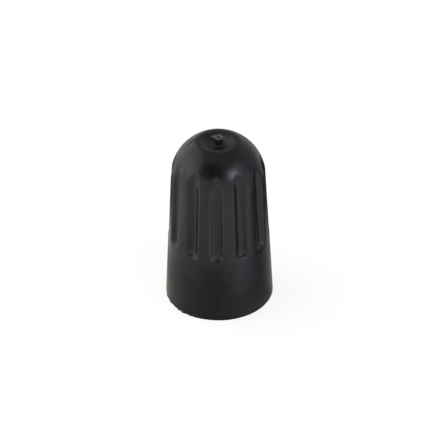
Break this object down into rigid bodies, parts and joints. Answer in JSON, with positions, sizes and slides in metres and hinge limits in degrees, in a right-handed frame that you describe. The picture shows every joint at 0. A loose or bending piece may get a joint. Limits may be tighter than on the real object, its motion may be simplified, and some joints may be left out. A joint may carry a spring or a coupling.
{
  "type": "tyre valve cap",
  "caption": "Bullet-shaped moulded dust cap with half-round grip flutes, a gate well in its crown and a blind threaded bore that screws onto a tyre valve stem.",
  "frame": {"origin": "centre of the open rim, in the plane that the cap stands on", "axes": "+Z along the cap's axis from the open rim to the dome, -Y towards the front of the picture"},
  "size_m": [0.0106, 0.0106, 0.018],
  "materials": {
    "black_plastic": "satin moulded black plastic"
  },
  "bodies": {
    "root": {"valve_cap": "black_plastic"}
  },
  "joints": []
}
